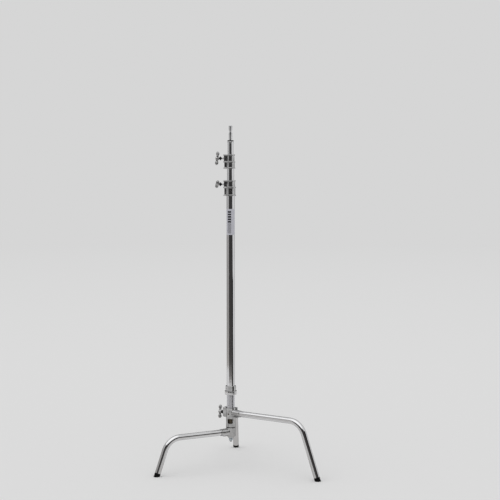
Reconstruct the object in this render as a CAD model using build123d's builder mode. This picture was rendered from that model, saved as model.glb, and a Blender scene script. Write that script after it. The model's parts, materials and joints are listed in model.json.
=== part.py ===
from build123d import *
from math import asin, cos, degrees, radians, sin, tan
import os

os.makedirs("parts", exist_ok=True)

# A light stand: three swinging legs on a spindle, a lift-off column and two risers.
# The origin is on the floor under the column's axis, +Z is up, +Y is away from the front.

# Fits
running = 0.05        # radial clearance of a shaft in its bore
face_gap = 0.3        # between faces of pieces that move past each other
pin_inset = 0.2       # how far the end of a cross pin lies under the skin

# Tubes, outside radii
column_r = 17.5
riser_1_r = 15.0
riser_2_r = 12.5
leg_r = 12.5
tube_wall = 1.5
spigot_r = 7.94

# Legs: level run heights, directions seen from above, and where each tube's axis would meet the floor
leg_pitch = 41.0
reach_pitch = 44.0
low_height = 156.0
low_reach = 355.5
low_angle = 209.5
mid_angle = 87.4
top_angle = 325.2
leg_spread = 122.1    # furthest that a swinging leg opens from the low leg
leg_slant = 20.0      # of the descending run, from the vertical
leg_bend_r = 75.0
leg_start = 24.0      # inner end of the tube in its socket
leg_pin_r = 2.0
leg_pin_reaches = (31.0, 45.0)
foot_r = 12.7
foot_tall = 15.0
foot_stem = 16.0
mid_height = low_height + leg_pitch
top_height = mid_height + leg_pitch
mid_reach = low_reach + reach_pitch
top_reach = mid_reach + reach_pitch

# Leg castings
ring_r = 21.0
casting_half = 19.6   # half height of a casting's ring
socket_root_r = 17.0
socket_end_r = 14.8
socket_reach = 52.0
spring_chamber_r = 16.0
cone_bottom = 129.5   # underside of the low casting, where the washer and the nut sit
set_screw_angle = 240.0
set_screw_r = 3.6
set_screw_drop = 3.0  # below the top leg's level run
low_top = low_height + casting_half
mid_bottom = mid_height - casting_half
mid_top = mid_height + casting_half
top_bottom = top_height - casting_half

# Spindle and column joint
spindle_r = 11.0
stud_r = 5.0
stud_bottom = 112.0
stud_top = 135.0
socket_bottom = 262.6
socket_top = 335.0
socket_bore_r = 15.5
spindle_head_top = 282.0
socket_pin_angle = 60.0
socket_pin_height = 272.0
socket_pin_r = 2.5
stop_pin_r = 1.5
stop_pin_out = 14.0
stop_pin_in = 6.0
stop_angle = 150.0
stop_play = 6.4       # how far short of its stop the opened top leg stands
stop_margin = degrees(asin((stop_pin_r + 0.2) / spindle_r))
mid_stop_height = mid_height - 15.6
top_stop_height = top_height - 12.0
top_top = socket_bottom - 2 * face_gap
ring_bottom = 319.0
ring_outer_r = 26.5
ferrule_r = 22.5
ferrule_bottom = 335.2
ferrule_top = 357.0
column_bottom = 341.0
plug_bottom = 285.0
plug_top = 352.0
plug_bore_r = 8.0
label_bottom = 1010.0
label_tall = 111.0
label_thick = 0.15

# Riser collars: bottom, middle and top ridge, and the height of the clamp screw
column_collar = (1176.6, 1212.5, 1243.0, 1226.5)
riser_collar = (1293.0, 1321.5, 1354.0, 1337.0)
ridge_tall = 4.6
ridge_proud = 2.8
boss_reach = 29.0
rivet_r = 2.2
rivet_proud = 0.5
bush_wall = 1.3

# Risers
riser_1_bottom = 425.0
riser_2_bottom = 505.0
riser_2_top = 1406.0
guide_tall = 12.0
guide_lip = 4.0
guide_stem = 15.0
riser_slack = 1.0     # from a riser to the bore of the tube around it

# Top fitting
top_ring_bottom = 1402.5
washer_bottom = 1409.0
washer_top = 1414.0
top_ring_r = 14.2
stop_washer_r = 13.2
shank_r = 7.4         # of the spigot, where it passes through the ring and the washer
spigot_bottom = 1346.0
spigot_top = 1477.0
groove_bottom = 1446.0
groove_tall = 10.0
groove_deep = 2.2
spigot_pin_angle = 40.0
spigot_pin_height = 1366.0
spigot_pin_r = 2.0

# Clamp screws and T-handles, measured outward from the column's axis
screw_r = 4.0
shoe_long = 6.0
flange_r = 8.0
flange_from = 40.0
flange_to = 46.5
wing_span = 54.0
wing_lean = 7.0       # tilt of the wings, off square to the screw
wing_middle = 57.0
wing_tip_r = 4.8
wing_half = 5.6       # half thickness
hub_r = 7.0
hub_gap = 2.0         # from the flange to the hub
hub_to = 64.5
screw_end = 62.5
handle_pin_r = 1.4
handle_pin_u = 51.6   # outward reach of the pin that locks the handle to its screw


def outward(angle):
    return Vector(cos(radians(angle)), sin(radians(angle)), 0)


def upright(angle, height=0.0):
    """Vertical plane through the column's axis, its x along the direction and its y up."""
    along = outward(angle)
    return Plane(origin=(0, 0, height), x_dir=along, z_dir=along.cross(Vector(0, 0, 1)))


def facing(angle, height, reach=0.0):
    """Plane square to the direction, at a reach from the column's axis."""
    along = outward(angle)
    return Plane(origin=along * reach + Vector(0, 0, height), x_dir=Vector(0, 0, 1), z_dir=along)


def save(piece, label):
    piece.part.label = label
    export_step(piece.part, f"parts/{label}.step")


def tube(label, outer_r, inner_r, bottom, top):
    with BuildPart() as piece:
        with BuildSketch(Plane.XY.offset(bottom)):
            Circle(outer_r)
            Circle(inner_r, mode=Mode.SUBTRACT)
        extrude(amount=top - bottom)
        chamfer(piece.edges().filter_by(GeomType.CIRCLE), 0.3)
    save(piece, label)


def cross_pins(label, angle, pins, pin_r):
    """Round pins along one direction: each has a height, an inner end and an outer end."""
    with BuildPart() as piece:
        for height, inner, outer in pins:
            with BuildSketch(facing(angle, height, inner)):
                Circle(pin_r)
            extrude(amount=outer - inner)
    save(piece, label)


# Legs

def leg_end(reach, length):
    """Point on the descending axis, a length up from the floor, in the leg's upright plane."""
    return (reach - length * sin(radians(leg_slant)), length * cos(radians(leg_slant)))


def descending(angle, reach, length):
    """Plane square to the descending run, facing down the leg."""
    x, z = leg_end(reach, length)
    down = outward(angle) * sin(radians(leg_slant)) - Vector(0, 0, cos(radians(leg_slant)))
    side = outward(angle).cross(Vector(0, 0, 1))
    return Plane(origin=outward(angle) * x + Vector(0, 0, z), x_dir=side, z_dir=down)


def leg_tube(label, angle, height, reach):
    corner = (reach - height * tan(radians(leg_slant)), height)
    with BuildPart() as piece:
        with BuildLine(upright(angle)) as path:
            FilletPolyline((leg_start, height), corner, leg_end(reach, foot_tall), radius=leg_bend_r)
        with BuildSketch(facing(angle, height, leg_start)):
            Circle(leg_r)
            Circle(leg_r - tube_wall, mode=Mode.SUBTRACT)
        sweep(path=path.wires()[0])
        for pin_reach in leg_pin_reaches:
            with BuildSketch(upright(angle)):
                with Locations((pin_reach, height)):
                    Circle(leg_pin_r)
            extrude(amount=2 * leg_r, both=True, mode=Mode.SUBTRACT)
    save(piece, label)


def leg_foot(label, angle, reach):
    """Rubber foot: a stem in the tube and a head cut flat on the floor."""
    with BuildPart() as piece:
        with BuildSketch(descending(angle, reach, foot_tall)):
            Circle(foot_r)
        extrude(amount=foot_tall + foot_r)
        split(bisect_by=Plane.XY, keep=Keep.TOP)
        fillet(piece.faces().sort_by(Axis.Z)[-1].edges(), 1.2)
        chamfer(piece.faces().sort_by(Axis.Z)[0].edges(), 0.8)
        with BuildSketch(descending(angle, reach, foot_tall + foot_stem)):
            Circle(leg_r - tube_wall)
        extrude(amount=foot_stem + 1.0)
    save(piece, label)


def leg_pins(label, angle, height):
    """Cross pins that hold the tube in its socket, a little below the casting's skin."""
    with BuildPart() as piece:
        with BuildSketch(upright(angle)):
            with Locations(*[(pin_reach, height) for pin_reach in leg_pin_reaches]):
                Circle(leg_pin_r)
        extrude(amount=socket_end_r - 3 * pin_inset, both=True)
    save(piece, label)


def socket_shape(angle, height):
    """Tapered socket of a leg casting, from inside the ring to its mouth."""
    with BuildSketch(facing(angle, height, ring_r / 2)) as root:
        Circle(socket_root_r)
    with BuildSketch(facing(angle, height, socket_reach)) as mouth:
        Circle(socket_end_r)
    loft(sections=[root.sketch, mouth.sketch])


def socket_cuts(angle, height):
    """Blind bore for the leg tube and the two pin holes."""
    with BuildSketch(facing(angle, height, leg_start)) as tube_bore:
        Circle(leg_r)
    extrude(tube_bore.sketch, amount=socket_reach, mode=Mode.SUBTRACT)
    with BuildSketch(upright(angle)) as pin_holes:
        with Locations(*[(pin_reach, height) for pin_reach in leg_pin_reaches]):
            Circle(leg_pin_r)
    extrude(pin_holes.sketch, amount=ring_r, both=True, mode=Mode.SUBTRACT)


def bore(radius, bottom, top):
    with BuildSketch(Plane.XY.offset(bottom)) as disc:
        Circle(radius)
    extrude(disc.sketch, amount=top - bottom, mode=Mode.SUBTRACT)


def ring_shape(radius, bottom, top):
    with BuildSketch(Plane.XY.offset(bottom)) as disc:
        Circle(radius)
    extrude(disc.sketch, amount=top - bottom)


def stop_groove(height, pin_from):
    """Recess in the bore that a stop pin of the spindle runs in, as the leg swings."""
    room = 1.0
    with BuildSketch(upright(pin_from - stop_margin, height)) as groove:
        with Locations(((stop_pin_out + room) / 2, 0)):
            Rectangle(stop_pin_out + room, 2 * stop_pin_r + room)
    revolve(groove.sketch, axis=Axis.Z, revolution_arc=leg_spread + 2 * stop_margin, mode=Mode.SUBTRACT)



def low_leg():
    cone_top = low_height - casting_half + 6.0
    with BuildPart() as casting:
        ring_shape(ring_r, cone_top, low_top)
        with BuildSketch(Plane.XY.offset(cone_top)):
            Circle(ring_r)
        with BuildSketch(Plane.XY.offset(cone_bottom)):
            Circle(spindle_r)
        loft()
        socket_shape(low_angle, low_height)
        fillet(casting.faces().sort_by(Axis.Z)[-1].edges().filter_by(GeomType.CIRCLE), 1.2)
        socket_cuts(low_angle, low_height)
        bore(spindle_r, stud_top, low_top)
        bore(stud_r, cone_bottom, stud_top)
    save(casting, "low_leg_casting")
    leg_tube("low_leg_tube", low_angle, low_height, low_reach)
    leg_foot("low_leg_foot", low_angle, low_reach)
    leg_pins("low_leg_pins", low_angle, low_height)


def mid_leg():
    chamber_floor = mid_bottom + 7.6
    window_angle = 262.0
    window_wide = 22.0
    window_tall = 20.5
    window_middle = mid_height + 6.8
    with BuildPart() as casting:
        ring_shape(ring_r, mid_bottom, mid_top)
        socket_shape(mid_angle, mid_height)
        fillet(casting.edges().filter_by(GeomType.CIRCLE).group_by(Axis.Z)[-1], 1.0)
        socket_cuts(mid_angle, mid_height)
        bore(spindle_r + running, mid_bottom, chamber_floor)
        bore(spring_chamber_r, chamber_floor, mid_top)
        stop_groove(mid_stop_height, stop_angle - leg_spread)
        with BuildSketch(facing(window_angle, window_middle, spindle_r)):
            RectangleRounded(window_tall, window_wide, 3.0)
        extrude(amount=ring_r, mode=Mode.SUBTRACT)
    save(casting, "mid_leg_casting")
    leg_tube("mid_leg_tube", mid_angle, mid_height, mid_reach)
    leg_foot("mid_leg_foot", mid_angle, mid_reach)
    leg_pins("mid_leg_pins", mid_angle, mid_height)
    lock_spring(chamber_floor)


def lock_spring(floor):
    wire_r = 1.3
    coil_r = 13.3
    pitch = 3.3
    end_gap = 0.2
    room = mid_top - floor - 2 * (wire_r + 2 * end_gap)
    with BuildPart() as spring:
        with BuildLine(Plane.XY.offset(floor + wire_r + end_gap)) as coil:
            Helix(pitch=pitch, height=room, radius=coil_r)
        with BuildSketch(Plane(origin=coil.line @ 0, z_dir=coil.line % 0)):
            Circle(wire_r)
        sweep(path=coil.wires()[0], is_frenet=True)
    save(spring, "lock_spring")


def top_leg():
    boss_angle = top_angle + 180
    boss_wide = 27.0
    boss_out = 36.5
    lug_angle = 20.0
    lug_reach = 24.0
    lug_r = 7.5
    with BuildPart() as casting:
        ring_shape(ring_r, top_bottom, top_top)
        with BuildSketch(Plane.XY.offset(top_bottom)):
            with Locations(Plane(origin=(0, 0, 0), x_dir=outward(boss_angle), z_dir=(0, 0, 1))):
                with Locations((boss_out / 2, 0)):
                    Rectangle(boss_out, boss_wide)
        extrude(amount=top_top - top_bottom)
        fillet(casting.edges().filter_by(Axis.Z).sort_by(SortBy.DISTANCE)[-2:], 5.0)
        fillet(casting.faces().sort_by(Axis.Z)[-1].edges(), 1.5)
        socket_shape(top_angle, top_height)
        with BuildSketch(Plane.XY.offset(top_height)):
            with Locations(outward(lug_angle) * lug_reach):
                Circle(lug_r)
        extrude(amount=top_top - top_height - 2.0)
        socket_cuts(top_angle, top_height)
        bore(spindle_r + running, top_bottom, top_top)
        stop_groove(top_stop_height, stop_angle - stop_play)
        with BuildSketch(facing(boss_angle, top_height)):
            Circle(screw_r + running)
        extrude(amount=boss_out + 2, mode=Mode.SUBTRACT)
        with BuildSketch(facing(set_screw_angle, top_height - set_screw_drop)):
            Circle(set_screw_r)
        extrude(amount=ring_r + 2, mode=Mode.SUBTRACT)
    save(casting, "top_leg_casting")
    leg_tube("top_leg_tube", top_angle, top_height, top_reach)
    leg_foot("top_leg_foot", top_angle, top_reach)
    leg_pins("top_leg_pins", top_angle, top_height)
    set_screw()


def set_screw():
    """Headless screw in the top casting, with a hexagon socket in its outer end."""
    height = top_height - set_screw_drop
    inner_end = spindle_r + 2 * face_gap
    long = 7.5
    socket_deep = 3.4
    with BuildPart() as screw:
        with BuildSketch(facing(set_screw_angle, height, inner_end)):
            Circle(set_screw_r)
        extrude(amount=long)
        with BuildSketch(facing(set_screw_angle, height, inner_end + long)):
            RegularPolygon(2.1, 6)
        extrude(amount=-socket_deep, mode=Mode.SUBTRACT)
    save(screw, "top_leg_set_screw")


# Spindle, socket and their fasteners

def base_core():
    with BuildPart() as spindle:
        with BuildSketch(Plane.XZ):
            with BuildLine():
                Polyline(
                    (0, stud_bottom),
                    (stud_r - 1.5, stud_bottom),
                    (stud_r, stud_bottom + 1.5),
                    (stud_r, stud_top),
                    (spindle_r, stud_top),
                    (spindle_r, socket_bottom),
                    (socket_bore_r, socket_bottom),
                    (socket_bore_r, spindle_head_top),
                    (0, spindle_head_top),
                    close=True,
                )
            make_face()
        revolve(axis=Axis.Z)
        for height in (mid_stop_height, top_stop_height):
            with BuildSketch(facing(stop_angle, height, stop_pin_in)):
                Circle(stop_pin_r)
            extrude(amount=spindle_r, mode=Mode.SUBTRACT)
        with BuildSketch(facing(socket_pin_angle, socket_pin_height)):
            Circle(socket_pin_r)
        extrude(amount=2 * column_r, both=True, mode=Mode.SUBTRACT)
    save(spindle, "spindle")
    stop_pins = [
        (mid_stop_height, stop_pin_in, stop_pin_out),
        (top_stop_height, stop_pin_in, stop_pin_out),
    ]
    cross_pins("leg_stop_pins", stop_angle, stop_pins, stop_pin_r)
    socket_pin = [(socket_pin_height, pin_inset - column_r, column_r - pin_inset)]
    cross_pins("socket_pin", socket_pin_angle, socket_pin, socket_pin_r)


def column_socket():
    slit_wide = 2.0
    slit_tall = 26.0
    with BuildPart() as socket:
        with BuildSketch(Plane.XY.offset(socket_bottom)):
            Circle(column_r)
            Circle(socket_bore_r, mode=Mode.SUBTRACT)
        extrude(amount=socket_top - socket_bottom)
        with BuildSketch(Plane.XY.offset(socket_top - slit_tall)):
            Rectangle(4 * column_r, slit_wide)
            Rectangle(slit_wide, 4 * column_r)
        extrude(amount=slit_tall, mode=Mode.SUBTRACT)
        with BuildSketch(facing(socket_pin_angle, socket_pin_height)):
            Circle(socket_pin_r)
        extrude(amount=2 * column_r, both=True, mode=Mode.SUBTRACT)
    save(socket, "column_socket_tube")


def base_hardware():
    washer_thick = 1.5
    nut_tall = 8.5
    insert_tall = 3.0
    nut_top = cone_bottom - washer_thick
    nut_bottom = nut_top - nut_tall
    with BuildPart() as washer:
        with BuildSketch(Plane.XY.offset(nut_top)):
            Circle(10.0)
            Circle(stud_r, mode=Mode.SUBTRACT)
        extrude(amount=washer_thick)
    save(washer, "base_washer")
    with BuildPart() as nut:
        with BuildSketch(Plane.XY.offset(nut_bottom)):
            RegularPolygon(8.5, 6, major_radius=False)
        extrude(amount=nut_tall)
        ring_shape(7.0, nut_bottom - insert_tall, nut_bottom)
        bore(stud_r, nut_bottom - insert_tall, nut_top)
        chamfer(nut.faces().sort_by(Axis.Z)[0].edges().filter_by(GeomType.CIRCLE), 0.8)
    save(nut, "base_nut")
    with BuildPart() as washers:
        for bottom in (low_top, mid_top):
            with BuildSketch(Plane.XY.offset(bottom + face_gap)):
                Circle(ring_r - 0.5)
                Circle(spindle_r + face_gap, mode=Mode.SUBTRACT)
            extrude(amount=leg_pitch - 2 * casting_half - 2 * face_gap)
    save(washers, "leg_washers")


def coupling_ring():
    scallops = 10
    scallop_r = 4.5
    scallop_reach = ring_outer_r + 3.4
    with BuildPart() as ring:
        with BuildSketch(Plane.XY.offset(ring_bottom)):
            Circle(ring_outer_r)
            Circle(column_r + running, mode=Mode.SUBTRACT)
        extrude(amount=socket_top - face_gap - ring_bottom)
        outer_edges = ring.edges().filter_by(GeomType.CIRCLE).sort_by(SortBy.RADIUS)[-2:]
        chamfer(outer_edges, 1.2)
        with BuildSketch(Plane.XY.offset(ring_bottom)):
            with PolarLocations(scallop_reach, scallops):
                Circle(scallop_r)
        extrude(amount=socket_top - ring_bottom, mode=Mode.SUBTRACT)
    save(ring, "coupling_ring")


# Column

def column():
    rivet_height = 346.5
    rivet_angle = 30.0
    tube("column_tube", column_r, column_r - tube_wall, column_bottom, column_collar[1])
    with BuildPart() as ferrule:
        ring_shape(ferrule_r, ferrule_bottom, ferrule_top)
        chamfer(ferrule.edges().filter_by(GeomType.CIRCLE), 1.5)
        bore(socket_bore_r - running, ferrule_bottom, column_bottom)
        bore(column_r, column_bottom, ferrule_top)
        with BuildSketch(facing(rivet_angle, rivet_height)):
            Circle(rivet_r)
        extrude(amount=2 * ferrule_r, both=True, mode=Mode.SUBTRACT)
    save(ferrule, "column_ferrule")
    with BuildPart() as plug:
        ring_shape(socket_bore_r - running, plug_bottom, column_bottom)
        chamfer(plug.faces().sort_by(Axis.Z)[0].edges(), 2.0)
        ring_shape(column_r - tube_wall, column_bottom, plug_top)
        bore(plug_bore_r, plug_bottom, plug_top)
    save(plug, "column_plug")
    with BuildPart() as rivets:
        for angle in (rivet_angle, rivet_angle + 180):
            with BuildSketch(facing(angle, rivet_height, column_r)):
                Circle(rivet_r)
            extrude(amount=ferrule_r + rivet_proud - column_r)
    save(rivets, "column_rivets")
    with BuildPart() as label:
        with BuildSketch(Plane.XY.offset(label_bottom)):
            Circle(column_r + label_thick)
            Circle(column_r, mode=Mode.SUBTRACT)
        extrude(amount=label_tall)
    save(label, "column_label")


def collar(label, heights, tube_r, riser_r):
    """Clamp collar: a socket over its own tube below, a lined bore for the riser above."""
    bottom, middle, top, screw_height = heights
    lower_r = tube_r + 2.8
    upper_r = riser_r + 4.2
    rib_wide = 13.0
    boss_wide = 22.0
    rivet_angles = (55.0, 125.0)
    rivet_height = (bottom + ridge_tall + middle) / 2
    shapes = (
        (bottom, middle, lower_r, rib_wide, boss_reach - 2.0),
        (middle, top, upper_r, boss_wide, boss_reach),
    )
    ridges = (
        (bottom, lower_r, rib_wide),
        (middle - ridge_tall / 2, max(lower_r, upper_r), boss_wide),
        (top - ridge_tall, upper_r, boss_wide),
    )
    with BuildPart() as casting:
        for low, high, body_r, wide, reach in shapes:
            with BuildSketch(Plane.XY.offset(low)):
                Circle(body_r)
                with Locations((-reach / 2, 0)):
                    RectangleRounded(reach, wide, 3.0)
            extrude(amount=high - low)
        for low, body_r, wide in ridges:
            with BuildSketch(Plane.XY.offset(low)):
                Circle(body_r + ridge_proud)
                with Locations((-(boss_reach + ridge_proud) / 2, 0)):
                    RectangleRounded(boss_reach + ridge_proud, wide + 2 * ridge_proud, 4.0)
            extrude(amount=ridge_tall)
        chamfer(casting.faces().sort_by(Axis.Z)[-1].edges(), 0.8)
        chamfer(casting.faces().sort_by(Axis.Z)[0].edges(), 0.8)
        bore(tube_r, bottom, middle)
        bore(riser_r + bush_wall, middle, top)
        with BuildSketch(facing(180, screw_height)):
            Circle(screw_r + running)
        extrude(amount=2 * boss_reach, mode=Mode.SUBTRACT)
        for angle in rivet_angles:
            with BuildSketch(facing(angle, rivet_height, tube_r)):
                Circle(rivet_r)
            extrude(amount=boss_reach, mode=Mode.SUBTRACT)
    save(casting, label)
    with BuildPart() as bush:
        with BuildSketch(Plane.XY.offset(middle)):
            Circle(riser_r + bush_wall)
            Circle(riser_r + running, mode=Mode.SUBTRACT)
        extrude(amount=top - middle)
        with BuildSketch(facing(180, screw_height)):
            Circle(screw_r + running)
        extrude(amount=boss_reach, mode=Mode.SUBTRACT)
    save(bush, f"{label}_bush")
    with BuildPart() as rivets:
        for angle in rivet_angles:
            with BuildSketch(facing(angle, rivet_height, tube_r)):
                Circle(rivet_r)
            extrude(amount=lower_r + rivet_proud - tube_r)
    save(rivets, f"{label}_rivets")


# Risers

def riser_end(label, tube_r, bottom):
    """End plug in the riser's foot, and the guide bush that turns on its waist."""
    stem_r = tube_r - tube_wall
    waist_r = stem_r - 0.5
    plug_wall = 4.0
    flange_edge_r = tube_r - 0.2
    with BuildPart() as plug:
        ring_shape(flange_edge_r, bottom - guide_tall - guide_lip, bottom - guide_tall)
        ring_shape(waist_r, bottom - guide_tall, bottom)
        ring_shape(stem_r, bottom, bottom + guide_stem)
        bore(stem_r - plug_wall, bottom - guide_tall - guide_lip, bottom + guide_stem)
    save(plug, f"{label}_end_plug")
    with BuildPart() as bush:
        with BuildSketch(Plane.XY.offset(bottom - guide_tall + face_gap)):
            Circle(tube_r + riser_slack - running)
            Circle(waist_r + running, mode=Mode.SUBTRACT)
        extrude(amount=guide_tall - 2 * face_gap)
        chamfer(bush.edges().filter_by(GeomType.CIRCLE).sort_by(SortBy.RADIUS)[-2:], 0.6)
    save(bush, f"{label}_guide_bush")


def risers():
    tube("riser_1_tube", riser_1_r, riser_1_r - tube_wall, riser_1_bottom, riser_collar[1])
    riser_end("riser_1", riser_1_r, riser_1_bottom)
    with BuildPart() as piece:
        with BuildSketch(Plane.XY.offset(riser_2_bottom)):
            Circle(riser_2_r)
            Circle(riser_2_r - tube_wall, mode=Mode.SUBTRACT)
        extrude(amount=riser_2_top - riser_2_bottom)
        with BuildSketch(facing(spigot_pin_angle, spigot_pin_height)):
            Circle(spigot_pin_r)
        extrude(amount=2 * riser_2_r, both=True, mode=Mode.SUBTRACT)
    save(piece, "riser_2_tube")
    riser_end("riser_2", riser_2_r, riser_2_bottom)


def top_fitting():
    plug_r = riser_2_r - tube_wall
    with BuildPart() as ring:
        ring_shape(top_ring_r, top_ring_bottom, washer_bottom)
        chamfer(ring.edges().filter_by(GeomType.CIRCLE), 0.8)
        bore(riser_2_r, top_ring_bottom, riser_2_top)
        bore(shank_r, riser_2_top, washer_bottom)
    save(ring, "top_ring")
    with BuildPart() as washer:
        ring_shape(stop_washer_r, washer_bottom, washer_top)
        fillet(washer.edges().filter_by(GeomType.CIRCLE), 1.0)
        bore(shank_r, washer_bottom, washer_top)
    save(washer, "stop_washer")
    with BuildPart() as spigot:
        ring_shape(plug_r, spigot_bottom, riser_2_top)
        ring_shape(shank_r, riser_2_top, washer_top)
        ring_shape(spigot_r, washer_top, spigot_top)
        chamfer(spigot.faces().sort_by(Axis.Z)[-1].edges(), 1.5)
        with BuildSketch(Plane.XY.offset(groove_bottom)):
            Circle(2 * spigot_r)
            Circle(spigot_r - groove_deep, mode=Mode.SUBTRACT)
        extrude(amount=groove_tall, mode=Mode.SUBTRACT)
        with BuildSketch(facing(spigot_pin_angle, spigot_pin_height)):
            Circle(spigot_pin_r)
        extrude(amount=2 * riser_2_r, both=True, mode=Mode.SUBTRACT)
    save(spigot, "spigot")
    spigot_pin = [(spigot_pin_height, pin_inset - riser_2_r, riser_2_r - pin_inset)]
    cross_pins("spigot_pin", spigot_pin_angle, spigot_pin, spigot_pin_r)


# Clamps: a shoe that moves in and out, a screw and a cast T-handle that turn

def clamp(label, angle, height, clamped_r, turn):
    shoe_face = clamped_r + running
    shoe_back = clamped_r + shoe_long
    with BuildPart() as shoe:
        with BuildSketch(facing(angle, height)):
            Circle(screw_r)
        extrude(amount=shoe_back)
        with BuildSketch(Plane.XY.offset(height - flange_r)):
            Circle(shoe_face)
        extrude(amount=2 * flange_r, mode=Mode.SUBTRACT)
    save(shoe, f"{label}_clamp_shoe")
    with BuildPart() as screw:
        with BuildSketch(facing(angle, height, shoe_back + 2 * running)):
            Circle(screw_r)
        extrude(amount=flange_from - shoe_back)
        chamfer(screw.faces().sort_by(SortBy.DISTANCE)[0].edges(), 1.0)
        with BuildSketch(facing(angle, height, flange_from)):
            Circle(flange_r)
        extrude(amount=flange_to - flange_from)
        fillet(screw.edges().filter_by(GeomType.CIRCLE).sort_by(SortBy.RADIUS)[-2:], 2.6)
        with BuildSketch(facing(angle, height, flange_to)):
            Circle(screw_r)
        extrude(amount=screw_end - flange_to)
        handle_pin_hole(angle, height, turn)
    save(screw, f"{label}_handle_screw")
    handle_cast(f"{label}_handle", angle, height, turn)
    with BuildPart() as pin:
        with BuildSketch(wing_plane(angle, height, turn)):
            with Locations((handle_pin_u, 0)):
                Circle(handle_pin_r)
        extrude(amount=hub_r - 3 * pin_inset, both=True)
    save(pin, f"{label}_handle_pin")


def wing_plane(angle, height, turn):
    """Upright plane of the clamp, turned about the screw's axis, with the wings along its y."""
    flat = upright(angle, height)
    screw_axis = Axis((0, 0, 0), flat.x_dir)
    return Plane(origin=flat.origin, x_dir=flat.x_dir, z_dir=flat.z_dir.rotate(screw_axis, turn))


def handle_pin_hole(angle, height, turn):
    with BuildSketch(wing_plane(angle, height, turn)) as hole:
        with Locations((handle_pin_u, 0)):
            Circle(handle_pin_r)
    extrude(hole.sketch, amount=2 * hub_r, both=True, mode=Mode.SUBTRACT)


def leaned_plane(angle, height, turn):
    """The wings' own plane, its origin in the hub and its y along the leaning wings."""
    wings = wing_plane(angle, height, turn)
    hub_middle = wings.origin + wings.x_dir * wing_middle
    across = wings.x_dir.rotate(Axis((0, 0, 0), wings.z_dir), wing_lean)
    return Plane(origin=hub_middle, x_dir=across, z_dir=wings.z_dir)


def handle_cast(label, angle, height, turn):
    """Cast T-handle: a hub over the screw's end and two wings that widen to round tips."""
    hub_from = flange_to + hub_gap
    tip_v = wing_span / 2 - wing_tip_r
    arm_v = 11.0
    wings = leaned_plane(angle, height, turn)
    with BuildPart() as handle:
        with BuildSketch(wings):
            with BuildLine():
                back = Spline(
                    (wing_tip_r, -tip_v),
                    (4.0, -arm_v),
                    (6.0, 0.0),
                    (4.0, arm_v),
                    (wing_tip_r, tip_v),
                    tangents=((0, 1), (0, 1)),
                )
                ThreePointArc(back @ 1, (0, tip_v + wing_tip_r), (-wing_tip_r, tip_v))
                front = Spline(
                    (-wing_tip_r, tip_v),
                    (-1.5, arm_v),
                    (-3.0, 0.0),
                    (-1.5, -arm_v),
                    (-wing_tip_r, -tip_v),
                    tangents=((0, -1), (0, -1)),
                )
                ThreePointArc(front @ 1, (0, -tip_v - wing_tip_r), back @ 0)
            make_face()
        extrude(amount=wing_half, both=True)
        fillet(handle.faces().filter_by(wings).edges(), 2.0)
        with BuildSketch(facing(angle, height, hub_from)):
            Circle(hub_r)
        extrude(amount=hub_to - hub_from)
        hub_rim = handle.faces().filter_by(facing(angle, height)).edges().filter_by(GeomType.CIRCLE)
        fillet(hub_rim, 2.0)
        with BuildSketch(facing(angle, height, hub_from)):
            Circle(screw_r)
        extrude(amount=screw_end - hub_from, mode=Mode.SUBTRACT)
        handle_pin_hole(angle, height, turn)
    save(handle, label)


low_leg()
mid_leg()
top_leg()
base_core()
column_socket()
base_hardware()
coupling_ring()
column()
collar("column_collar", column_collar, column_r, riser_1_r)
collar("riser_collar", riser_collar, riser_1_r, riser_2_r)
risers()
top_fitting()
clamp("base", top_angle + 180, top_height, spindle_r, 195)
clamp("column", 180, column_collar[3], riser_1_r, -66)
clamp("riser", 180, riser_collar[3], riser_2_r, -8)
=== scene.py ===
import bpy
import json
from math import atan2, cos, degrees, pi, radians, sin
from mathutils import Matrix, Vector


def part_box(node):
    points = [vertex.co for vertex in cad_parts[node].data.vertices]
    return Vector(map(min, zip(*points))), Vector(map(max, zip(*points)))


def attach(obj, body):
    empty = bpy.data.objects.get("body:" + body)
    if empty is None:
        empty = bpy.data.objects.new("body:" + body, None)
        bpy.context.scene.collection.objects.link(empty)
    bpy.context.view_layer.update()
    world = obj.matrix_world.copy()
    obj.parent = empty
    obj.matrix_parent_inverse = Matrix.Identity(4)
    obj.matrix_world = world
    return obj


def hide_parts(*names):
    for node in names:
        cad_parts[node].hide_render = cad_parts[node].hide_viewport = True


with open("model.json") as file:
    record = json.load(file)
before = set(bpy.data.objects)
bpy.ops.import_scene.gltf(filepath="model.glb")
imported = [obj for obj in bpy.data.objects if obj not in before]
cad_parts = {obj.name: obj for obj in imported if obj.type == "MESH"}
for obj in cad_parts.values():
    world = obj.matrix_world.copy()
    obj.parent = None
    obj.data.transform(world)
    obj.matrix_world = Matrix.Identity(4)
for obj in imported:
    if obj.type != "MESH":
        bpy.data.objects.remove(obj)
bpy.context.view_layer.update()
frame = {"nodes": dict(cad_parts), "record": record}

scene = bpy.context.scene
up = Vector((0, 0, 1))
mm = 0.001


def clearSelection():
    bpy.ops.object.select_all(action="DESELECT")


def pick(obj):
    clearSelection()
    obj.select_set(True)
    bpy.context.view_layer.objects.active = obj


def outward(angle):
    return Vector((cos(radians(angle)), sin(radians(angle)), 0))


def aimed(direction):
    return direction.to_track_quat("Z", "Y").to_euler()


def bake(obj):
    # the place goes into the mesh, so the object sits at the origin
    pick(obj)
    bpy.ops.object.transform_apply(location=True, rotation=True, scale=True)
    return obj


def applyAll(obj):
    pick(obj)
    for modifier in list(obj.modifiers):
        bpy.ops.object.modifier_apply(modifier=modifier.name)
    return obj


def rod(radius, start, end, sides=64, endRadius=None):
    # cylinder or cone between two points
    axis = end - start
    clearSelection()
    bpy.ops.mesh.primitive_cone_add(
        vertices=sides,
        radius1=radius,
        radius2=radius if endRadius is None else endRadius,
        depth=axis.length,
        location=(start + end) / 2,
        rotation=aimed(axis),
    )
    return bake(bpy.context.object)


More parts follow.
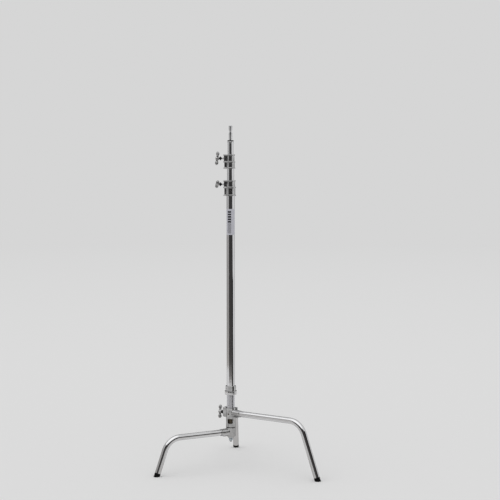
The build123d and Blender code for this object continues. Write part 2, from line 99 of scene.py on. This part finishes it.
def block(size, centre, turn=0.0, rounding=0.0):
    clearSelection()
    bpy.ops.mesh.primitive_cube_add(size=1, location=centre, rotation=(0, 0, radians(turn)), scale=size)
    obj = bake(bpy.context.object)
    if rounding:
        soften(obj, rounding, 4)
        applyAll(obj)
    return obj


def ball(centre, size, axes):
    # squashed sphere; axes are the three directions that its sizes lie along
    clearSelection()
    bpy.ops.mesh.primitive_uv_sphere_add(segments=48, ring_count=24, radius=1)
    obj = bpy.context.object
    obj.scale = size
    obj.rotation_euler = Matrix(axes).transposed().to_euler()
    obj.location = centre
    return bake(obj)


def soften(obj, width, segments=2, angle=35):
    bevel = obj.modifiers.new("bevel", "BEVEL")
    bevel.width = width
    bevel.segments = segments
    bevel.angle_limit = radians(angle)
    return bevel


def joined(parts, name):
    clearSelection()
    for part in parts:
        part.select_set(True)
    bpy.context.view_layer.objects.active = parts[0]
    bpy.ops.object.join()
    obj = bpy.context.object
    obj.name = name
    obj.data.name = name
    return obj


def fuse(parts, name, voxel, rounds, factor=0.5):
    # overlapping shapes become one cast skin, with soft inner corners
    obj = joined(parts, name)
    remesh = obj.modifiers.new("remesh", "REMESH")
    remesh.mode = "VOXEL"
    remesh.voxel_size = voxel
    smooth = obj.modifiers.new("smooth", "SMOOTH")
    smooth.factor = factor
    smooth.iterations = rounds
    return applyAll(obj)


def cut(obj, tools):
    # machined holes: each tool is taken away and deleted
    for tool in tools:
        boolean = obj.modifiers.new("cut", "BOOLEAN")
        boolean.operation = "DIFFERENCE"
        boolean.solver = "EXACT"
        boolean.object = tool
        applyAll(obj)
        bpy.data.objects.remove(tool, do_unlink=True)
    return obj


def shadeSmooth(obj, angle=35):
    pick(obj)
    bpy.ops.object.shade_smooth_by_angle(angle=radians(angle))
    return obj


def lathe(name, profile, origin, direction, steps=64):
    # the profile is (radius, along) points, drawn by extruding one vertex and then spun
    clearSelection()
    bpy.ops.mesh.primitive_plane_add(size=1)
    obj = bpy.context.object
    obj.name = name
    obj.data.name = name
    bpy.ops.object.mode_set(mode="EDIT")
    bpy.ops.mesh.select_all(action="SELECT")
    bpy.ops.mesh.merge(type="CENTER")
    bpy.ops.transform.translate(value=(profile[0][0], 0, profile[0][1]))
    for (r0, z0), (r1, z1) in zip(profile, profile[1:]):
        bpy.ops.mesh.extrude_region_move(TRANSFORM_OT_translate={"value": (r1 - r0, 0, z1 - z0)})
    bpy.ops.mesh.select_all(action="SELECT")
    bpy.ops.mesh.spin(steps=steps, angle=2 * pi, center=(0, 0, 0), axis=(0, 0, 1))
    bpy.ops.mesh.select_all(action="SELECT")
    bpy.ops.mesh.remove_doubles(threshold=1e-6)
    bpy.ops.mesh.normals_make_consistent(inside=False)
    bpy.ops.object.mode_set(mode="OBJECT")
    obj.rotation_euler = aimed(direction)
    obj.location = origin
    return bake(obj)


def standIn(obj, node):
    # the piece takes its CAD node's body, slot and finish
    slot = slotOf[node]
    obj.data.materials.clear()
    obj.data.materials.append(mats[slot])
    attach(obj, bodyOf[node])
    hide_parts(node)
    return obj


def newMaterial(name):
    material = bpy.data.materials.new(name)
    material.use_nodes = True
    tree = material.node_tree
    shader = tree.nodes["Principled BSDF"]
    coords = tree.nodes.new("ShaderNodeTexCoord")
    return material, tree, shader, coords.outputs["Object"]


def stretched(tree, vector, scale):
    mapping = tree.nodes.new("ShaderNodeMapping")
    mapping.inputs["Scale"].default_value = scale
    tree.links.new(vector, mapping.inputs["Vector"])
    return mapping.outputs["Vector"]


def noise(tree, vector, scale, detail=4.0, roughness=0.55):
    node = tree.nodes.new("ShaderNodeTexNoise")
    node.inputs["Scale"].default_value = scale
    node.inputs["Detail"].default_value = detail
    node.inputs["Roughness"].default_value = roughness
    tree.links.new(vector, node.inputs["Vector"])
    return node.outputs["Fac"]


def ramp(tree, value, stops):
    node = tree.nodes.new("ShaderNodeValToRGB")
    node.color_ramp.elements[0].position = stops[0][0]
    node.color_ramp.elements[0].color = (*stops[0][1], 1)
    node.color_ramp.elements[1].position = stops[-1][0]
    node.color_ramp.elements[1].color = (*stops[-1][1], 1)
    for place, colour in stops[1:-1]:
        node.color_ramp.elements.new(place).color = (*colour, 1)
    tree.links.new(value, node.inputs["Fac"])
    return node.outputs["Color"]


def ranged(tree, value, low, high, fromLow=0.3, fromHigh=0.7):
    node = tree.nodes.new("ShaderNodeMapRange")
    node.inputs["From Min"].default_value = fromLow
    node.inputs["From Max"].default_value = fromHigh
    node.inputs["To Min"].default_value = low
    node.inputs["To Max"].default_value = high
    tree.links.new(value, node.inputs["Value"])
    return node.outputs["Result"]


def bumped(tree, shader, height, distance):
    node = tree.nodes.new("ShaderNodeBump")
    node.inputs["Strength"].default_value = 1.0
    node.inputs["Distance"].default_value = distance
    tree.links.new(height, node.inputs["Height"])
    tree.links.new(node.outputs["Normal"], shader.inputs["Normal"])


def blended(tree, mask, colour, tone):
    # colour turns to the plain tone where the mask is 1
    mix = tree.nodes.new("ShaderNodeMix")
    mix.data_type = "RGBA"
    tree.links.new(mask, mix.inputs["Factor"])
    tree.links.new(colour, mix.inputs[6])
    mix.inputs[7].default_value = (*tone, 1)
    return mix.outputs[2]


def metal(name, look):
    material, tree, shader, vector = newMaterial(name)
    shader.inputs["Metallic"].default_value = 1.0
    # rim is the tone of the edges that are seen at a grazing angle
    shader.inputs["Specular Tint"].default_value = (look.get("rim", 1.0),) * 3 + (1,)
    cloud = noise(tree, vector, look["cloud"], 5.0, 0.6)
    colour = ramp(tree, cloud, [(0.3, look["dark"]), (0.7, look["light"])])
    if "paintedDarkBeyond" in look:
        # painted dark reflection: blacked where the piece stands out from the column's axis
        flat = tree.nodes.new("ShaderNodeVectorMath")
        flat.operation = "LENGTH"
        tree.links.new(stretched(tree, vector, (1, 1, 0)), flat.inputs[0])
        fade = ranged(tree, flat.outputs["Value"], 0, 1, *look["paintedDarkBeyond"])
        colour = blended(tree, fade, colour, look["black"])
    tree.links.new(colour, shader.inputs["Base Color"])
    grain = noise(tree, stretched(tree, vector, look["stretch"]), look["grain"], 3.0, 0.5)
    mix = tree.nodes.new("ShaderNodeMath")
    mix.operation = "MULTIPLY"
    tree.links.new(cloud, mix.inputs[0])
    tree.links.new(grain, mix.inputs[1])
    rough = ranged(tree, mix.outputs[0], look["rough"][0], look["rough"][1], 0.12, 0.4)
    tree.links.new(rough, shader.inputs["Roughness"])
    bumped(tree, shader, grain, look["bump"])
    return material


def plastic(name, look):
    material, tree, shader, vector = newMaterial(name)
    cloud = noise(tree, vector, look["scale"] * 0.15, 4.0)
    colour = ramp(tree, cloud, [(0.3, look["dark"]), (0.7, look["light"])])
    tree.links.new(colour, shader.inputs["Base Color"])
    grain = noise(tree, vector, look["scale"], 3.0)
    tree.links.new(ranged(tree, grain, look["rough"][0], look["rough"][1]), shader.inputs["Roughness"])
    shader.inputs["Specular IOR Level"].default_value = look.get("shine", 0.5)
    bumped(tree, shader, grain, look["bump"])
    return material


looks = {
    "tube_chrome": dict(dark=(0.78, 0.78, 0.79), light=(0.86, 0.86, 0.87), cloud=14, grain=160,
                        stretch=(1, 1, 0.12), rough=(0.035, 0.11), bump=0.000004, rim=0.45),
    "cast_chrome": dict(dark=(0.40, 0.40, 0.40), light=(0.72, 0.72, 0.72), cloud=60, grain=220,
                        stretch=(1, 1, 1), rough=(0.07, 0.19), bump=0.000014, rim=0.4),
    # painted reflections: the handle's colour is mottled from near black to near white, standing in for
    # the dark studio that the chrome reflects
    "handle_chrome": dict(dark=(0.04, 0.04, 0.04), light=(0.95, 0.95, 0.95), cloud=48, grain=220,
                          stretch=(1, 1, 1), rough=(0.04, 0.13), bump=0.000012, rim=0.3),
    "socket_satin": dict(dark=(0.62, 0.62, 0.65), light=(0.72, 0.72, 0.75), cloud=30, grain=900,
                         stretch=(1, 1, 0.05), rough=(0.22, 0.32), bump=0.000004),
    "turned_steel": dict(dark=(0.30, 0.29, 0.28), light=(0.48, 0.47, 0.46), cloud=60, grain=1200,
                         stretch=(0.1, 0.1, 1), rough=(0.2, 0.4), bump=0.00002),
    "screw_steel": dict(dark=(0.70, 0.70, 0.71), light=(0.88, 0.88, 0.89), cloud=50, grain=900,
                        stretch=(0.2, 0.2, 1), rough=(0.14, 0.26), bump=0.00001,
                        # painted dark reflection: the handle screws are coloured near black past the
                        # collars
                        paintedDarkBeyond=(0.034, 0.038), black=(0.03, 0.03, 0.03)),
    "zinc_steel": dict(dark=(0.55, 0.62, 0.68), light=(0.78, 0.83, 0.86), cloud=160, grain=900,
                       stretch=(1, 1, 1), rough=(0.22, 0.42), bump=0.00003),
    "spring_steel": dict(dark=(0.10, 0.085, 0.06), light=(0.26, 0.22, 0.16), cloud=120, grain=900,
                         stretch=(1, 1, 1), rough=(0.25, 0.5), bump=0.00003),
    "shoe_brass": dict(dark=(0.55, 0.38, 0.16), light=(0.75, 0.58, 0.28), cloud=120, grain=900,
                       stretch=(1, 1, 1), rough=(0.2, 0.4), bump=0.00002),
}
moulded = {
    "foot_rubber": dict(dark=(0.002, 0.002, 0.002), light=(0.006, 0.006, 0.006), rough=(0.6, 0.8),
                        scale=900, bump=0.00008, shine=0.12),
    "nylon": dict(dark=(0.62, 0.60, 0.54), light=(0.74, 0.72, 0.66), rough=(0.4, 0.55),
                  scale=500, bump=0.00002),
    "black_plastic": dict(dark=(0.006, 0.006, 0.006), light=(0.015, 0.015, 0.015), rough=(0.3, 0.5),
                          scale=700, bump=0.00004),
}
printLook = {
    "film": (0.54, 0.54, 0.59), "ink": (0.03, 0.03, 0.035), "rule": (0.14, 0.14, 0.15),
    "barPitch": 0.0105, "barShare": 0.72, "barsAbove": 0.46, "rulePitch": 0.0042, "ruleShare": 0.55,
    "inkCentre": -108, "inkWide": 26, "margin": 0.05,
}


def mathNode(tree, operation, first, second):
    node = tree.nodes.new("ShaderNodeMath")
    node.operation = operation
    for socket, value in zip(node.inputs, (first, second)):
        if isinstance(value, (int, float)):
            socket.default_value = value
        else:
            tree.links.new(value, socket)
    return node.outputs[0]


def stripes(tree, rise, pitch, share):
    # 1 on the printed share of every pitch, 0 between
    step = mathNode(tree, "FRACT", mathNode(tree, "DIVIDE", rise, pitch), 0)
    return mathNode(tree, "LESS_THAN", step, share)


def labelFilm(name, look):
    # pale film with a row of plain dark bars above and fine grey rules below
    low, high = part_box("column_label")
    tall = high[2] - low[2]
    material, tree, shader, vector = newMaterial(name)
    split = tree.nodes.new("ShaderNodeSeparateXYZ")
    tree.links.new(vector, split.inputs[0])
    rise = mathNode(tree, "SUBTRACT", split.outputs["Z"], low[2])
    turn = mathNode(tree, "ARCTAN2", split.outputs["Y"], split.outputs["X"])
    offCentre = mathNode(tree, "ABSOLUTE", mathNode(tree, "SUBTRACT", turn, radians(look["inkCentre"])), 0)
    inBand = mathNode(tree, "LESS_THAN", offCentre, radians(look["inkWide"]))
    clear = mathNode(tree, "COMPARE", mathNode(tree, "DIVIDE", rise, tall), 0.5)
    clear.node.inputs[2].default_value = 0.5 - look["margin"]
    upper = mathNode(tree, "GREATER_THAN", rise, tall * look["barsAbove"])
    lower = mathNode(tree, "SUBTRACT", 1, upper)
    bars = stripes(tree, rise, look["barPitch"], look["barShare"])
    rules = stripes(tree, rise, look["rulePitch"], look["ruleShare"])
    area = mathNode(tree, "MULTIPLY", inBand, clear)
    ink = mathNode(tree, "MULTIPLY", area, mathNode(tree, "MULTIPLY", upper, bars))
    rule = mathNode(tree, "MULTIPLY", area, mathNode(tree, "MULTIPLY", lower, rules))
    cloud = noise(tree, vector, 60, 3.0)
    film = ramp(tree, cloud, [(0.3, tuple(0.94 * c for c in look["film"])), (0.7, look["film"])])
    colour = film
    for mask, tone in ((rule, look["rule"]), (ink, look["ink"])):
        colour = blended(tree, mask, colour, tone)
    tree.links.new(colour, shader.inputs["Base Color"])
    grain = noise(tree, vector, 500, 2.0)
    tree.links.new(ranged(tree, grain, 0.14, 0.26), shader.inputs["Roughness"])
    bumped(tree, shader, grain, 0.00001)
    return material


print("materials")
mats = {name: metal(name, look) for name, look in looks.items()}
for name, look in moulded.items():
    mats[name] = plastic(name, look)
mats["label_film"] = labelFilm("label_film", printLook)
slotOf = {part["node"]: part["material_slot"] for part in frame["record"]["subparts"]}
bodyOf = {node: body for body, nodes in frame["record"]["behaviour"]["bodies"].items() for node in nodes}
for name, slot in slotOf.items():
    for place in frame["nodes"][name].material_slots:
        place.material = mats[slot]


def boxHeights(node):
    low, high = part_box(node)
    return low[2], high[2]


def footPoint(leg):
    mount = next(m for m in frame["record"]["mounts"] if m["name"] == leg + "_foot")
    return Vector(mount["pos_m"])


castLook = {
    "ring": 20.7, "socketRoot": 16.8, "socketMouth": 14.0, "socketReach": 51.6,
    "socketFrom": 0.4, "bead": 14.8, "beadWide": 4.2,
    "tubeRadius": 12.5, "tubeStart": 24.0, "spindle": 11.4, "webDrop": 9.0, "webSize": (17.0, 7.5, 10.0),
    "pinReaches": (31.0, 45.0), "pinDimple": 2.6, "voxel": 0.75, "smoothRounds": 7,
    "bossOut": 36.0, "bossWide": 26.4, "bossRound": 6.0,
    "lugAngle": 20.0, "lugReach": 24.0, "lugRadius": 7.2,
    "screwHole": 4.4, "grubAngle": 240.0, "grubDrop": 3.0, "grubHole": 3.7,
    "windowAngle": 262.0, "windowSize": (22.0, 20.5), "windowRise": 6.8,
    "chamber": 16.0, "chamberFloor": 7.6,
}


def castingParts(leg, look):
    # the ring on the spindle and the flared socket for the leg's tube
    along = footPoint(leg).normalized()
    height = boxHeights(leg + "_leg_tube")[1] - look["tubeRadius"] * mm
    low, high = boxHeights(leg + "_leg_casting")
    level = up * height
    mouth = along * look["socketReach"] * mm + level
    inset = 0.3 * mm
    foot = up * (height - (high - height) + inset)
    parts = [
        rod(look["ring"] * mm, foot, up * (high - inset)),
        rod(look["socketRoot"] * mm, level + along * look["ring"] * look["socketFrom"] * mm, mouth,
            endRadius=look["socketMouth"] * mm),
        rod(look["bead"] * mm, mouth - along * look["beadWide"] * mm, mouth),
        ball(level + along * 30 * mm - up * look["webDrop"] * mm, [v * mm for v in look["webSize"]],
             (along, along.cross(up), up)),
    ]
    return along, level, low, high, parts


def tubeHole(along, level, look):
    start = level + along * look["tubeStart"] * mm
    return rod((look["tubeRadius"] + 0.25) * mm, start, level + along * 0.09)


def steppedBore(lowRadius, highRadius, low, step, high):
    # one tool for an upright bore that changes width at the step
    past = 0.01
    profile = [(0, low - past), (lowRadius, low - past), (lowRadius, step), (highRadius, step),
               (highRadius, high + past), (0, high + past)]
    return lathe("bore", profile, Vector(), up)


def pinDimples(along, level, look):
    side = along.cross(up)
    tools = []
    for reach in look["pinReaches"]:
        for sign in (-1, 1):
            centre = level + along * reach * mm + side * sign * 14.6 * mm
            tools.append(rod(look["pinDimple"] * mm, centre, centre + side * sign * 0.02, 32))
    return tools


def legCasting(leg, look):
    along, level, low, high, parts = castingParts(leg, look)
    node = leg + "_leg_casting"
    tools = [tubeHole(along, level, look)] + pinDimples(along, level, look)
    if leg == "low":
        parts.append(rod(11 * mm, up * low, up * (low + 14 * mm), endRadius=look["ring"] * mm))
    if leg == "mid":
        floor = low + look["chamberFloor"] * mm
        window = outward(look["windowAngle"])
        wide, tall = look["windowSize"]
        centre = window * 20 * mm + level + up * look["windowRise"] * mm
        tools.append(steppedBore(look["spindle"] * mm, look["chamber"] * mm, low, floor, high))
        tools.append(block((18 * mm, wide * mm, tall * mm), centre, look["windowAngle"], 3 * mm))
    if leg == "top":
        back = -along
        turn = degrees(atan2(back.y, back.x))
        middle = up * (low + high) / 2
        parts.append(block((look["bossOut"] * mm, look["bossWide"] * mm, high - low - 0.6 * mm),
                           back * look["bossOut"] / 2 * mm + middle, turn, look["bossRound"] * mm))
        lug = outward(look["lugAngle"]) * look["lugReach"] * mm
        parts.append(rod(look["lugRadius"] * mm, lug + level, lug + up * (high - 2 * mm)))
        grub = outward(look["grubAngle"])
        grubLevel = level - up * look["grubDrop"] * mm
        tools.append(rod(look["spindle"] * mm, up * (low - 0.01), up * (high + 0.01)))
        tools.append(rod(look["screwHole"] * mm, level, level + back * 0.06, 32))
        tools.append(rod(look["grubHole"] * mm, grubLevel, grubLevel + grub * 0.04, 32))
    obj = fuse(parts, node + "_cast", look["voxel"] * mm, look["smoothRounds"])
    cut(obj, tools)
    shadeSmooth(obj, 40)
    return standIn(obj, node)


print("leg castings")
for leg in ("low", "mid", "top"):
    legCasting(leg, castLook)


collarLook = {
    "ridgeTall": 4.6, "ridgeProud": 2.6, "ribWide": 13.0, "bossWide": 22.0, "bossReach": 29.0,
    "skin": 2.6, "linedSkin": 4.0, "bushWall": 1.3, "screwHole": 4.5, "voxel": 0.6, "smoothRounds": 4,
}


def collarCasting(node, tubeNode, riserRadius, look):
    low, high = boxHeights(node)
    tubeTop = boxHeights(tubeNode)[1]
    tubeRadius = (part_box(tubeNode)[1][0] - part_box(tubeNode)[0][0]) / 2
    lowRadius = tubeRadius + look["skin"] * mm
    highRadius = riserRadius + look["linedSkin"] * mm
    screwLow, screwHigh = boxHeights(node.replace("collar", "handle_screw"))
    ridge, proud = look["ridgeTall"] * mm, look["ridgeProud"] * mm
    reach = look["bossReach"] * mm
    parts = []
    for bottom, top, radius, wide, out in (
        (low, tubeTop, lowRadius, look["ribWide"] * mm, reach - 2 * mm),
        (tubeTop, high, highRadius, look["bossWide"] * mm, reach),
        (low, low + ridge, lowRadius + proud, look["ribWide"] * mm + 2 * proud, reach + proud),
        (tubeTop - ridge / 2, tubeTop + ridge / 2, max(lowRadius, highRadius) + proud,
         look["bossWide"] * mm + 2 * proud, reach + proud),
        (high - ridge, high, highRadius + proud, look["bossWide"] * mm + 2 * proud, reach + proud),
    ):
        middle = up * (bottom + top) / 2
        parts.append(rod(radius, up * bottom, up * top, 96))
        parts.append(block((out, wide, top - bottom), middle - Vector((out / 2, 0, 0)), 0, 2.2 * mm))
    obj = fuse(parts, node + "_cast", look["voxel"] * mm, look["smoothRounds"])
    screwLevel = up * (screwLow + screwHigh) / 2
    screwHole = rod(look["screwHole"] * mm, screwLevel, screwLevel - Vector((0.06, 0, 0)), 32)
    bore = steppedBore(tubeRadius + 0.15 * mm, riserRadius + look["bushWall"] * mm, low, tubeTop, high)
    cut(obj, [bore, screwHole])
    shadeSmooth(obj, 40)
    return standIn(obj, node)


print("collars")
collarCasting("column_collar", "column_tube", 15 * mm, collarLook)
collarCasting("riser_collar", "riser_1_tube", 12.5 * mm, collarLook)


handleLook = {
    "hubFrom": 48.6, "hubTo": 62.5, "hubRadius": 6.6, "middle": 57.0, "lean": 7.0,
    "tipReach": 19.5, "tipSize": (7.2, 9.4, 8.2), "armEnd": 17.0, "armNarrow": 3.9,
    "neckRadius": 6.2, "voxel": 0.5, "smoothRounds": 6,
}
handlePlaces = {
    "base": dict(angle=145.2, turn=195),
    "column": dict(angle=180, turn=-66),
    "riser": dict(angle=180, turn=-8),
}


def castHandle(name, place, look):
    node = name + "_handle"
    screwLow, screwHigh = boxHeights(name + "_handle_screw")
    level = up * (screwLow + screwHigh) / 2
    out = outward(place["angle"])
    normal = Matrix.Rotation(radians(place["turn"]), 3, out) @ out.cross(up)
    across = Matrix.Rotation(radians(look["lean"]), 3, normal) @ out
    wing = normal.cross(across)
    middle = level + out * look["middle"] * mm
    hubEnd = level + out * look["hubTo"] * mm
    parts = [
        rod(look["hubRadius"] * mm, level + out * look["hubFrom"] * mm, hubEnd),
        ball(hubEnd, [v * mm for v in (2.0, 6.4, 6.4)], (out, wing, normal)),
    ]
    for sign in (-1, 1):
        tip = middle + wing * sign * look["tipReach"] * mm
        parts.append(ball(tip, [v * mm for v in look["tipSize"]], (across, wing, normal)))
        arm = middle + wing * sign * look["armEnd"] * mm
        parts.append(rod(look["neckRadius"] * mm, middle, arm, 48, look["armNarrow"] * mm))
    obj = fuse(parts, node + "_cast", look["voxel"] * mm, look["smoothRounds"])
    cut(obj, [rod(4.05 * mm, level + out * 0.03, level + out * 0.0615, 48)])
    shadeSmooth(obj, 60)
    return standIn(obj, node)


print("handles")
for name, place in handlePlaces.items():
    castHandle(name, place, handleLook)


footLook = {
    "slant": 20.0, "radius": 12.7, "tall": 15.0, "below": 8.0,
    "ribs": (4.0, 8.0), "ribDeep": 0.55, "ribWide": 1.4,
}


def rubberFoot(leg, look):
    # turned up the leg's axis, with two grip grooves, then cut flat on the floor
    point = footPoint(leg)
    along = point.normalized()
    axis = (up * cos(radians(look["slant"])) - along * sin(radians(look["slant"]))).normalized()
    radius, deep, half = look["radius"], look["ribDeep"], look["ribWide"] / 2
    profile = [(0, -look["below"]), (radius, -look["below"])]
    for rib in look["ribs"]:
        profile += [(radius, rib - half - 0.3), (radius - deep, rib - half), (radius - deep, rib + half),
                    (radius, rib + half + 0.3)]
    top = look["tall"]
    profile += [(radius, top - 1.4), (radius - 0.4, top - 0.5), (radius - 1.3, top), (0, top)]
    obj = lathe(leg + "_leg_foot_cap", [(r * mm, z * mm) for r, z in profile], point, axis)
    bpy.ops.object.mode_set(mode="EDIT")
    bpy.ops.mesh.select_all(action="SELECT")
    bpy.ops.mesh.bisect(plane_co=(0, 0, 0.0001), plane_no=(0, 0, 1), use_fill=True, clear_inner=True)
    bpy.ops.mesh.select_all(action="SELECT")
    bpy.ops.mesh.normals_make_consistent(inside=False)
    bpy.ops.object.mode_set(mode="OBJECT")
    soften(obj, 1.3 * mm, 3, 65)
    applyAll(obj)
    shadeSmooth(obj, 40)
    return standIn(obj, leg + "_leg_foot")


print("feet")
for leg in ("low", "mid", "top"):
    rubberFoot(leg, footLook)


nutLook = {"acrossFlats": 17.0, "tall": 8.5, "crown": 7.0}


def lockNut(look):
    low, high = boxHeights("base_nut")
    hexRadius = look["acrossFlats"] / 2 / cos(pi / 6) * mm
    nut = rod(hexRadius, up * (high - look["tall"] * mm), up * high, 6)
    corner = hexRadius * 0.93
    nutCone = rod(corner, up * (high - look["tall"] * mm), up * (high + 8 * mm), 64, hexRadius * 1.6)
    shape = nut.modifiers.new("corners", "BOOLEAN")
    shape.operation = "INTERSECT"
    shape.solver = "EXACT"
    shape.object = nutCone
    applyAll(nut)
    bpy.data.objects.remove(nutCone, do_unlink=True)
    crown = rod(look["crown"] * mm, up * low, up * (high - look["tall"] * mm), 48)
    soften(crown, 0.8 * mm, 4)
    applyAll(crown)
    obj = joined([nut, crown], "base_nut_lock")
    soften(obj, 0.3 * mm, 2, 30)
    applyAll(obj)
    shadeSmooth(obj, 30)
    return standIn(obj, "base_nut")


def gripRing(look):
    low, high = boxHeights("coupling_ring")
    obj = rod(look["radius"] * mm, up * low, up * high, 160)
    soften(obj, 1.4 * mm, 4)
    applyAll(obj)
    tools = [rod(look["bore"] * mm, up * (low - 0.01), up * (high + 0.01), 96)]
    for index in range(look["scallops"]):
        spot = outward(360 / look["scallops"] * index) * look["scallopReach"] * mm
        foot = spot + up * (low - 0.01)
        tools.append(rod(look["scallopRadius"] * mm, foot, spot + up * (high + 0.01), 48))
    cut(obj, tools)
    soften(obj, 0.35 * mm, 2, 30)
    applyAll(obj)
    shadeSmooth(obj, 30)
    return standIn(obj, "coupling_ring")


ringLook = {"radius": 26.5, "bore": 17.7, "scallops": 10, "scallopReach": 29.9, "scallopRadius": 4.5}

print("nut and grip ring")
lockNut(nutLook)
gripRing(ringLook)


stageLook = {
    "sky": 0.672, "floorTone": 0.84, "floorRadius": 60.0, "fadeFrom": 3.0, "fadeTo": 16.0,
    "sunPower": 0.62, "sunSpread": 85, "sunTilt": 28, "sunTurn": -35,
}


def skyWorld():
    world = bpy.data.worlds.new("sky")
    scene.world = world
    world.use_nodes = True
    background = world.node_tree.nodes["Background"]
    background.inputs["Color"].default_value = (stageLook["sky"],) * 3 + (1,)
    background.inputs["Strength"].default_value = 1.0


def softSun():
    light = bpy.data.lights.new("softSun", "SUN")
    light.energy = stageLook["sunPower"]
    light.angle = radians(stageLook["sunSpread"])
    lamp = bpy.data.objects.new("softSun", light)
    scene.collection.objects.link(lamp)
    lamp.rotation_euler = (radians(stageLook["sunTilt"]), 0, radians(stageLook["sunTurn"]))


def paperFloor():
    clearSelection()
    bpy.ops.mesh.primitive_circle_add(vertices=128, radius=stageLook["floorRadius"], fill_type="NGON")
    floor = bpy.context.object
    floor.name = "paperFloor"
    material = bpy.data.materials.new("paper")
    material.use_nodes = True
    tree = material.node_tree
    tree.nodes.clear()
    coords = tree.nodes.new("ShaderNodeTexCoord")
    length = tree.nodes.new("ShaderNodeVectorMath")
    length.operation = "LENGTH"
    tree.links.new(coords.outputs["Object"], length.inputs[0])
    fade = ranged(tree, length.outputs["Value"], 0, 1, stageLook["fadeFrom"], stageLook["fadeTo"])
    diffuse = tree.nodes.new("ShaderNodeBsdfDiffuse")
    diffuse.inputs["Color"].default_value = (stageLook["floorTone"],) * 3 + (1,)
    far = tree.nodes.new("ShaderNodeEmission")
    far.inputs["Color"].default_value = (stageLook["sky"],) * 3 + (1,)
    mix = tree.nodes.new("ShaderNodeMixShader")
    out = tree.nodes.new("ShaderNodeOutputMaterial")
    tree.links.new(fade, mix.inputs[0])
    tree.links.new(diffuse.outputs[0], mix.inputs[1])
    tree.links.new(far.outputs[0], mix.inputs[2])
    tree.links.new(mix.outputs[0], out.inputs["Surface"])
    floor.data.materials.append(material)


def onlyReflected(card):
    card.visible_camera = False
    card.visible_diffuse = False
    card.visible_shadow = False
    card.visible_transmission = False


def studioCard(name, look):
    # curved flag that only the shiny metal sees; angles are counted from the front, to the right
    clearSelection()
    bpy.ops.mesh.primitive_grid_add(x_subdivisions=24, y_subdivisions=8, size=1)
    card = bpy.context.object
    card.name = name
    low, high = look["height"]
    for vertex in card.data.vertices:
        across, rise = vertex.co.x + 0.5, vertex.co.y + 0.5
        left = look["left"][0] + rise * (look["left"][1] - look["left"][0])
        right = look["right"][0] + rise * (look["right"][1] - look["right"][0])
        angle = radians(left + across * (right - left))
        vertex.co = (look["away"] * sin(angle), -look["away"] * cos(angle), low + rise * (high - low))
    material = bpy.data.materials.new(name)
    material.use_nodes = True
    tree = material.node_tree
    tree.nodes.clear()
    coords = tree.nodes.new("ShaderNodeTexCoord")
    split = tree.nodes.new("ShaderNodeSeparateXYZ")
    tree.links.new(coords.outputs["Object"], split.inputs[0])
    rise = ranged(tree, split.outputs["Z"], 0, 1, low, high)
    glow = tree.nodes.new("ShaderNodeEmission")
    tree.links.new(ramp(tree, rise, look["tones"]), glow.inputs["Color"])
    out = tree.nodes.new("ShaderNodeOutputMaterial")
    tree.links.new(glow.outputs[0], out.inputs["Surface"])
    card.data.materials.append(material)
    onlyReflected(card)


def shadedFloorSheet(look):
    # flat grey sheet on the floor that only the undersides of the shiny metal see: painted shade, darker
    # in a ring round the stand, standing in for the floor in shade
    clearSelection()
    bpy.ops.mesh.primitive_circle_add(vertices=96, radius=look["radius"], fill_type="NGON",
                                      location=(0, 0, look["above"]))
    sheet = bpy.context.object
    sheet.name = "shadedFloorSheet"
    material = bpy.data.materials.new("shadedFloorSheet")
    material.use_nodes = True
    tree = material.node_tree
    tree.nodes.clear()
    coords = tree.nodes.new("ShaderNodeTexCoord")
    length = tree.nodes.new("ShaderNodeVectorMath")
    length.operation = "LENGTH"
    tree.links.new(coords.outputs["Object"], length.inputs[0])
    fade = ranged(tree, length.outputs["Value"], 0, 1, 0, look["radius"])
    glow = tree.nodes.new("ShaderNodeEmission")
    tree.links.new(ramp(tree, fade, look["tones"]), glow.inputs["Color"])
    out = tree.nodes.new("ShaderNodeOutputMaterial")
    tree.links.new(glow.outputs[0], out.inputs["Surface"])
    sheet.data.materials.append(material)
    onlyReflected(sheet)


cards = {
    "darkFront": dict(away=2.2, left=(-52, -52), right=(80, 36), height=(0.0, 1.65), tones=[
        (0.0, (0.26, 0.25, 0.24)), (0.045, (0.12, 0.115, 0.11)), (0.10, (0.06, 0.057, 0.055)),
        (0.5, (0.042, 0.04, 0.04)), (1.0, (0.05, 0.05, 0.05))]),
    "darkNear": dict(away=1.2, left=(36, 36), right=(76, 72), height=(0.0, 0.72), tones=[
        (0.0, (0.05, 0.048, 0.046)), (1.0, (0.008, 0.008, 0.008))]),
    "greyLeft": dict(away=2.8, left=(-145, -145), right=(-52.5, -52.5), height=(0.0, 2.4), tones=[
        (0.0, (0.42, 0.40, 0.38)), (0.12, (0.33, 0.32, 0.31)), (0.35, (0.36, 0.35, 0.345)),
        (0.5, (0.46, 0.46, 0.46)), (1.0, (0.5, 0.5, 0.5))]),
    "darkBack": dict(away=3.2, left=(158, 158), right=(202, 202), height=(0.0, 2.2), tones=[
        (0.0, (0.1, 0.1, 0.1)), (1.0, (0.04, 0.04, 0.04))]),
}
# painted shade: the darker ring of tones stands for the shaded floor seen in reflections
floorShadeLook = {"radius": 1.5, "above": 0.0006, "tones": [
    (0.0, (0.66, 0.66, 0.66)), (0.1, (0.64, 0.64, 0.64)), (0.17, (0.47, 0.46, 0.45)),
    (0.3, (0.47, 0.46, 0.45)), (0.47, (0.57, 0.565, 0.56)), (1.0, (0.62, 0.62, 0.62))]}


def mainCamera():
    camera = bpy.data.cameras.new("camera")
    camera.sensor_width = 36
    camera.lens = 92.38
    shooter = bpy.data.objects.new("camera", camera)
    scene.collection.objects.link(shooter)
    shooter.location = (0.0831, -5.5, 1.3)
    shooter.rotation_euler = (radians(90 - 3.7), 0, 0)
    scene.camera = shooter


print("stage")
scene.view_settings.view_transform = "Standard"
skyWorld()
paperFloor()
softSun()
for name, look in cards.items():
    studioCard(name, look)
shadedFloorSheet(floorShadeLook)
mainCamera()
